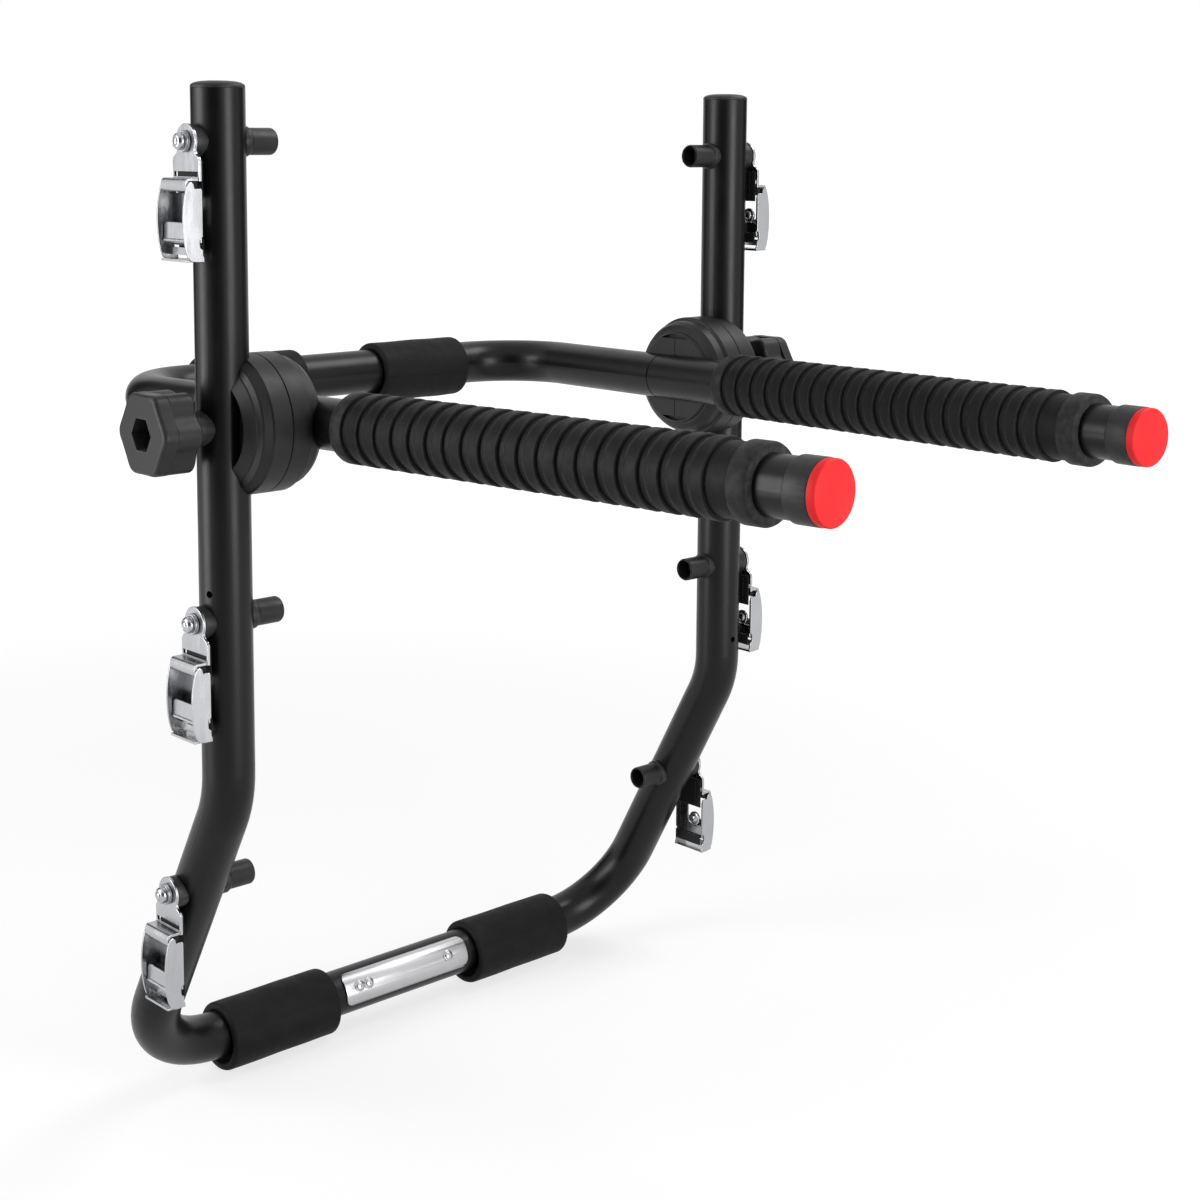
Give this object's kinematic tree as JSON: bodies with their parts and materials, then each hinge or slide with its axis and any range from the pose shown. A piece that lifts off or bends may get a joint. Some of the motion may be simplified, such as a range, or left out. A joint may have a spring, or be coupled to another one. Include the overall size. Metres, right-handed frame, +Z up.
{
  "type": "bike carrier",
  "caption": "Strap-on rear bike carrier: bent black tube frame, ribbed foam arms on screw-knob hinges, cam buckles for straps and foam pads against the car.",
  "frame": {"origin": "the middle of the lower bar, on its axis, where the carrier leans on the car", "axes": "+Z up along the uprights, +Y towards the car, arms along -Y, +X across the carrier; left is the -X side"},
  "size_m": [0.508, 0.5835, 0.6282],
  "materials": {
    "black_tube": "satin black powder coat",
    "black_plastic": "moulded, slightly satin",
    "red_plastic": "smooth moulded",
    "foam": "closed-cell foam skin",
    "grip_foam": "ribbed soft foam rubber",
    "webbing": "ribbed woven strap",
    "zinc_steel": "bright zinc plating on stamped sheet",
    "bare_steel": "drawn steel",
    "plate_metal": "satin bright sheet"
  },
  "bodies": {
    "frame": {"left_frame_tube": "black_tube", "right_frame_tube": "black_tube", "frame_joint_sleeve": "bare_steel", "name_plate": "plate_metal", "plate_rivets": "zinc_steel", "left_upright_cap": "black_plastic", "right_upright_cap": "black_plastic", "left_lower_foam": "foam", "right_lower_foam": "foam", "left_outer_disc": "black_plastic", "right_outer_disc": "black_plastic", "left_knob_spacer": "black_plastic", "right_knob_spacer": "black_plastic", "station_bolts": "zinc_steel", "station_washers": "zinc_steel", "station_spacers": "black_plastic", "station_pins": "black_plastic", "station_nuts": "zinc_steel"},
    "arms": {"upper_tube": "black_tube", "left_arm_tube": "black_tube", "left_arm_insert": "bare_steel", "left_grip": "grip_foam", "left_end_sleeve": "black_plastic", "left_red_cap": "red_plastic", "left_inner_disc": "black_plastic", "left_hinge_bolt": "zinc_steel", "left_upper_foam": "foam", "right_arm_tube": "black_tube", "right_arm_insert": "bare_steel", "right_grip": "grip_foam", "right_end_sleeve": "black_plastic", "right_red_cap": "red_plastic", "right_inner_disc": "black_plastic", "right_hinge_bolt": "zinc_steel", "right_upper_foam": "foam"},
    "left_knob": {"left_knob_body": "black_plastic", "left_knob_cap": "black_plastic", "left_knob_nut": "zinc_steel"},
    "left_upper_buckle": {"left_upper_buckle_frame": "zinc_steel", "left_upper_buckle_webbing": "webbing"},
    "left_upper_lever": {"left_upper_buckle_lever": "zinc_steel"},
    "left_middle_buckle": {"left_middle_buckle_frame": "zinc_steel", "left_middle_buckle_webbing": "webbing"},
    "left_middle_lever": {"left_middle_buckle_lever": "zinc_steel"},
    "left_lower_buckle": {"left_lower_buckle_frame": "zinc_steel", "left_lower_buckle_webbing": "webbing"},
    "left_lower_lever": {"left_lower_buckle_lever": "zinc_steel"},
    "right_knob": {"right_knob_body": "black_plastic", "right_knob_cap": "black_plastic", "right_knob_nut": "zinc_steel"},
    "right_upper_buckle": {"right_upper_buckle_frame": "zinc_steel", "right_upper_buckle_webbing": "webbing"},
    "right_upper_lever": {"right_upper_buckle_lever": "zinc_steel"},
    "right_middle_buckle": {"right_middle_buckle_frame": "zinc_steel", "right_middle_buckle_webbing": "webbing"},
    "right_middle_lever": {"right_middle_buckle_lever": "zinc_steel"},
    "right_lower_buckle": {"right_lower_buckle_frame": "zinc_steel", "right_lower_buckle_webbing": "webbing"},
    "right_lower_lever": {"right_lower_buckle_lever": "zinc_steel"}
  },
  "joints": [
    {"name": "arms_fold", "type": "hinge", "parent": "frame", "child": "arms", "pos_m": [0, -0.1105, 0.4129], "axis": [-1, 0, 0], "range_deg": [-75, 75]},
    {"name": "left_knob_turn", "type": "hinge", "parent": "arms", "child": "left_knob", "pos_m": [-0.242, -0.1105, 0.4129], "axis": [-1, 0, 0], "range_deg": [0, 720]},
    {"name": "left_upper_buckle_swing", "type": "hinge", "parent": "frame", "child": "left_upper_buckle", "pos_m": [-0.2222, -0.1105, 0.571], "axis": [1, 0, 0], "range_deg": [-90, 90]},
    {"name": "left_upper_lever_press", "type": "hinge", "parent": "left_upper_buckle", "child": "left_upper_lever", "pos_m": [-0.2264, -0.1105, 0.518], "axis": [0, 1, 0], "range_deg": [0, 16], "stiffness_Nm_per_rad": 0.12, "springref_deg": -17.19},
    {"name": "left_middle_buckle_swing", "type": "hinge", "parent": "frame", "child": "left_middle_buckle", "pos_m": [-0.2222, -0.1105, 0.3033], "axis": [1, 0, 0], "range_deg": [-90, 90]},
    {"name": "left_middle_lever_press", "type": "hinge", "parent": "left_middle_buckle", "child": "left_middle_lever", "pos_m": [-0.2264, -0.1105, 0.2503], "axis": [0, 1, 0], "range_deg": [0, 16], "stiffness_Nm_per_rad": 0.12, "springref_deg": -17.19},
    {"name": "left_lower_buckle_swing", "type": "hinge", "parent": "frame", "child": "left_lower_buckle", "pos_m": [-0.2222, -0.07637, 0.1367], "axis": [1, 0, 0], "range_deg": [-90, 90]},
    {"name": "left_lower_lever_press", "type": "hinge", "parent": "left_lower_buckle", "child": "left_lower_lever", "pos_m": [-0.2264, -0.07637, 0.0837], "axis": [0, 1, 0], "range_deg": [0, 16], "stiffness_Nm_per_rad": 0.12, "springref_deg": -17.19},
    {"name": "right_knob_turn", "type": "hinge", "parent": "arms", "child": "right_knob", "pos_m": [0.242, -0.1105, 0.4129], "axis": [1, 0, 0], "range_deg": [0, 720]},
    {"name": "right_upper_buckle_swing", "type": "hinge", "parent": "frame", "child": "right_upper_buckle", "pos_m": [0.2222, -0.1105, 0.562], "axis": [1, 0, 0], "range_deg": [-90, 90]},
    {"name": "right_upper_lever_press", "type": "hinge", "parent": "right_upper_buckle", "child": "right_upper_lever", "pos_m": [0.2264, -0.1105, 0.509], "axis": [0, -1, 0], "range_deg": [0, 16], "stiffness_Nm_per_rad": 0.12, "springref_deg": -17.19},
    {"name": "right_middle_buckle_swing", "type": "hinge", "parent": "frame", "child": "right_middle_buckle", "pos_m": [0.2222, -0.1105, 0.278], "axis": [1, 0, 0], "range_deg": [-90, 90]},
    {"name": "right_middle_lever_press", "type": "hinge", "parent": "right_middle_buckle", "child": "right_middle_lever", "pos_m": [0.2264, -0.1105, 0.225], "axis": [0, -1, 0], "range_deg": [0, 16], "stiffness_Nm_per_rad": 0.12, "springref_deg": -17.19},
    {"name": "right_lower_buckle_swing", "type": "hinge", "parent": "frame", "child": "right_lower_buckle", "pos_m": [0.2222, -0.06625, 0.1186], "axis": [1, 0, 0], "range_deg": [-90, 90]},
    {"name": "right_lower_lever_press", "type": "hinge", "parent": "right_lower_buckle", "child": "right_lower_lever", "pos_m": [0.2264, -0.06625, 0.0656], "axis": [0, -1, 0], "range_deg": [0, 16], "stiffness_Nm_per_rad": 0.12, "springref_deg": -17.19}
  ]
}
